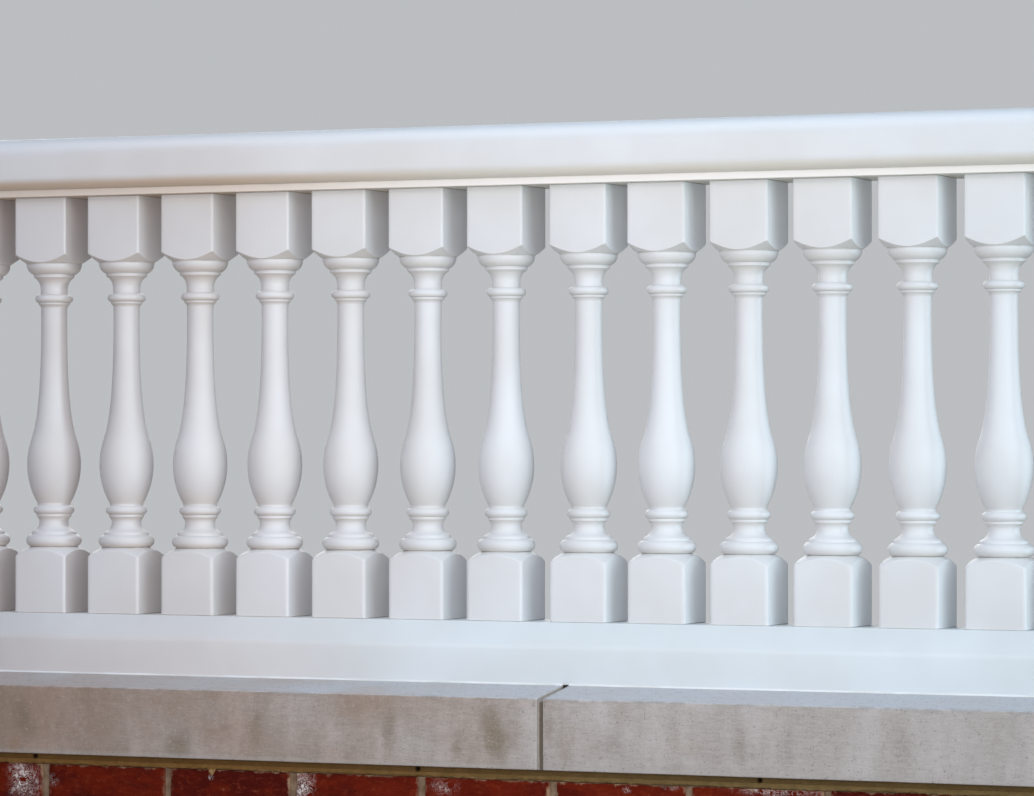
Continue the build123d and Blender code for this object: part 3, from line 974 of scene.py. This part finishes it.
def makeLeaf(node, name, shift):
    w = brickwork
    low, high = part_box(node)
    left, right = low.x / mm, high.x / mm
    courses = round((high.z / mm + w["joint"]) / w["course"])
    bm = bmesh.new()
    bm.verts.layers.float.new("tone")
    bm.verts.layers.float_vector.new("within")
    for course in range(courses):
        z = course * w["course"]
        bond = 0 if (courses - 1 - course) % 2 == 0 else w["pitch"] / 2
        seen = w["seenTones"] if course == courses - 1 and low.y < 0 else ()
        for place, (start, end) in enumerate(brickRow(left, right, w["topJointPlace"] + bond + shift)):
            # the cut ends of the wall and its foot stay in line
            start += 0 if start == left else slip()
            end += 0 if end == right else slip()
            foot = max(0, z + slip()) if course else 0
            top = z + w["height"] - abs(slip())
            tone = rng.random()
            tone = seen[place] if place < len(seen) else tone
            layBrick(bm, Vector((start * mm, low.y, foot * mm)), Vector((end * mm, high.y, top * mm)), tone)
    finishPiece(bm, name, brickMaterial, (node,), 60)

    # the mortar that the bricks are laid in, set back from their faces
    setback = w["jointSetback"] * mm
    low = low + Vector((setback / 2, setback if low.y < 0 else 0, 0))
    high = high - Vector((setback / 2, setback if high.y > 0 else 0, 0))
    bm = bmesh.new()
    slab(bm, low, high)
    for axis in (0, 2, 1):
        cutUp(bm, axis, low[axis], high[axis], w["jointCells"][axis])
    bm.normal_update()
    for vert in bm.verts:
        vert.co -= vert.normal * w["jointDepth"] * mm * (1 + lump(vert.co, w["jointSize"]))
        vert.co.z = min(max(vert.co.z, 0), high.z)
    finishPiece(bm, name + "_joints", brickMortarMaterial, (), 60)


makeLeaf("outer_brick_leaf", "front_bricks", 0)
makeLeaf("inner_brick_leaf", "back_bricks", brickwork["backShift"])
print("brickwork made")

# Mortar that was pressed out of the bed and hangs raggedly over the top edge of the bricks
smearShape = {
    "spacing": 2.4, "rows": 5, "lap": 5.0, "stand": 0.5, "dive": 1.2, "thickness": 2.2, "lumpSize": 7.0,
    "least": -2.4, "mean": -0.5,
    "ragged": 1.7, "raggedSize": 9.0, "crumbSize": 4.0, "broad": 1.8, "broadSize": 90.0,
    "dripPlace": -538.0, "dripLength": 12.0, "dripWidth": 5.0,
}


def makeSmear(side, node, name):
    s = smearShape
    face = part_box(node)[0 if side < 0 else 1].y
    length = bedHigh.x - bedLow.x
    bm = bmesh.new()
    bmesh.ops.create_grid(bm, x_segments=round(length / (s["spacing"] * mm)), y_segments=s["rows"], size=0.5)
    for vert in bm.verts:
        x, down = vert.co.x * (length - 1 * mm), 0.5 - vert.co.y
        ragged = noise.noise(Vector((x / (s["raggedSize"] * mm), side * 3.1, 0)))
        ragged += 0.6 * noise.noise(Vector((x / (s["crumbSize"] * mm), side, 5)))
        broad = noise.noise(Vector((x / (s["broadSize"] * mm), side * 7.7, 2)))
        hang = max(s["least"], s["mean"] + s["ragged"] * ragged + s["broad"] * broad)
        if side < 0:
            hang += s["dripLength"] * math.exp(-abs((x / mm - s["dripPlace"]) / s["dripWidth"]) ** 3)
        z = bedLow.z + (s["lap"] - down * (s["lap"] + hang)) * mm
        out = s["stand"] * (1 - down ** 3) * (0.8 + 0.2 * lump(Vector((x, 0, z)), s["lumpSize"]))
        vert.co = Vector((x, face + side * (out - s["dive"] * down ** 6) * mm, z))
    bmesh.ops.solidify(bm, geom=bm.faces[:], thickness=side * s["thickness"] * mm)
    tidyMesh(bm)
    finishPiece(bm, name, bedMaterial, (), 50)


makeSmear(-1, "outer_brick_leaf", "front_bed_smear")
makeSmear(1, "inner_brick_leaf", "back_bed_smear")

# Bead of sealant where the bottom rail meets the coping, with a gap at the coping joint
beadShape = {"radius": 2.4, "sides": 12, "drop": 0.3, "spacing": 9.0, "swellSize": 34.0, "gap": (-7.0, 3.0)}


def makeBead(side, left, right, name):
    s = beadShape
    bm = bmesh.new()
    bmesh.ops.create_circle(bm, cap_ends=True, radius=s["radius"] * mm, segments=s["sides"])
    alongX = Vector((1, 0, 0)).to_track_quat("Z", "Y").to_matrix()
    bmesh.ops.rotate(bm, verts=bm.verts, cent=(0, 0, 0), matrix=alongX)
    centre = Vector((left, railHigh.y if side > 0 else railLow.y, railLow.z - s["drop"] * mm))
    bmesh.ops.translate(bm, verts=bm.verts, vec=centre)
    drawOut(bm, bm.faces[:], right - left)
    cutUp(bm, 0, left, right, s["spacing"])
    for vert in bm.verts:
        axis = Vector((vert.co.x, centre.y, centre.z))
        swell = 0.88 + 0.3 * noise.noise(Vector((vert.co.x / (s["swellSize"] * mm), side * 4.0, 0)))
        vert.co = axis + (vert.co - axis) * swell
    finishPiece(bm, name, sealantMaterial, (), 50)


makeBead(-1, cadLow.x, beadShape["gap"][0] * mm, "front_sealant_left")
makeBead(-1, beadShape["gap"][1] * mm, cadHigh.x, "front_sealant_right")
makeBead(1, cadLow.x, cadHigh.x, "back_sealant")
print("mortar smears and sealant made")

# The CAD pieces that stay get their finish
for node, material, slotName in (
        ("coping_joint", roughMortar("joint_mortar", jointMortarLook), "joint_mortar"),
        ("mortar_bed", bedMaterial, "bed_mortar"),
        ("wall_core", roughMortar("core_concrete", coreLook), "bed_mortar")):
    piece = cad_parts[node]
    piece.data.materials.clear()
    piece.data.materials.append(material)

# Camera at the photograph's place, with its lens: the focal length is a little long, to make up for the
# way that the lens stretched the edges of the picture
cameraView = {
    "place": (2.4370, -5.8171, 0.7497), "pitch": 0.536, "yaw": 23.644,
    "focalPixels": 4320.0, "widthPixels": 1034, "sensorWidth": 36.0,
}


def makeCamera():
    v = cameraView
    camera = addObject("camera", bpy.data.cameras.new("camera"))
    camera.data.sensor_width = v["sensorWidth"]
    camera.data.lens = v["sensorWidth"] * v["focalPixels"] / v["widthPixels"]
    camera.location = v["place"]
    camera.rotation_euler = (math.radians(90 + v["pitch"]), 0, math.radians(v["yaw"]))
    bpy.context.scene.camera = camera


studio = {
    "floorSize": 60.0,            # metres, as are the places of the lamps
    "floorColour": (0.54, 0.51, 0.475), "backColour": (0.50, 0.515, 0.53),
    "skyColour": (0.60, 0.775, 1.0), "levelColour": (0.677, 0.534, 0.525),
    "skyStrength": 1.03, "overheadShare": 0.8, "behindShare": 0.08, "leftShare": 0.4, "rightShare": 1.6,
    "floorFadeStart": 1.6, "floorFadeEnd": 6.0,
}
lamps = (                         # name, place, aim, width, height, watts, colour
    ("key", (0.02, -1.05, 1.05), (0.02, 0.0, 1.02), 1.32, 1.2, 6.2, (1.0, 0.98, 0.962)),
    ("side", (2.9, -1.7, 1.3), (0.3, 0.0, 0.85), 1.8, 1.6, 34.0, (0.792, 0.962, 1.0)),
    ("back_fill", (-2.6, 4.4, 2.4), (0.0, 0.0, 0.7), 3.6, 2.2, 76.0, (1.0, 0.965, 0.94)),
)


def makeLamps():
    for name, place, aim, width, height, watts, colour in lamps:
        lamp = addObject(name, bpy.data.lights.new(name, "AREA"))
        lamp.data.shape = "RECTANGLE"
        lamp.data.size, lamp.data.size_y, lamp.data.energy, lamp.data.color = width, height, watts, colour
        lamp.location = place
        lamp.rotation_euler = (Vector(aim) - Vector(place)).to_track_quat("-Z", "Y").to_euler()
        lamp.visible_camera = False


def makeSky():
    # a sky that is brighter at the right and dim behind the object, with a plain backdrop for the camera
    world = bpy.data.worlds.new("studio")
    bpy.context.scene.world = world
    world.use_nodes = True
    tree = world.node_tree
    way = split(addNode(tree, "TexCoord").outputs["Generated"])
    sky = blend(ramp(way["Z"], -0.1, 0.9), studio["levelColour"], studio["skyColour"])
    strength = times(
        ramp(way["Y"], -0.05, 0.35, 1.0, studio["behindShare"]),
        ramp(way["Z"], 0.0, 0.9, 1.0, studio["overheadShare"]),
        ramp(way["X"], -1.0, 1.0, studio["leftShare"], studio["rightShare"]), studio["skyStrength"])
    path = addNode(tree, "LightPath").outputs
    seen = calc("MAXIMUM", path["Is Camera Ray"], path["Is Glossy Ray"], path["Is Transmission Ray"])
    background = tree.nodes["Background"].inputs
    tree.links.new(blend(seen, sky, studio["backColour"]), background["Color"])
    tree.links.new(plus(times(strength, less(1.0, seen)), seen), background["Strength"])


def makeFloor():
    # far from the object the floor takes the colour of the background
    bm = bmesh.new()
    bmesh.ops.create_grid(bm, x_segments=1, y_segments=1, size=studio["floorSize"] / 2)
    floor = addObject("floor", toMesh(bm, "floor"))
    material, shader, place = startMaterial("floor")
    shader.inputs["Base Color"].default_value = (*studio["floorColour"], 1)
    shader.inputs["Roughness"].default_value = 0.9
    tree = material.node_tree
    distance = vectorCalc("LENGTH", place, output="Value")
    far = ramp(distance, studio["floorFadeStart"], studio["floorFadeEnd"])
    far = times(far, addNode(tree, "LightPath").outputs["Is Camera Ray"])
    plain = addNode(tree, "Emission", {"Color": (*studio["backColour"], 1), "Strength": 1.0}).outputs[0]
    mixed = addNode(tree, "MixShader", {0: far, 1: shader.outputs[0], 2: plain}).outputs[0]
    tree.links.new(mixed, tree.nodes["Material Output"].inputs["Surface"])
    floor.data.materials.append(material)


makeCamera()
makeLamps()
makeSky()
makeFloor()
bpy.context.scene.view_settings.view_transform = "Standard"
print("camera, lamps and floor made")
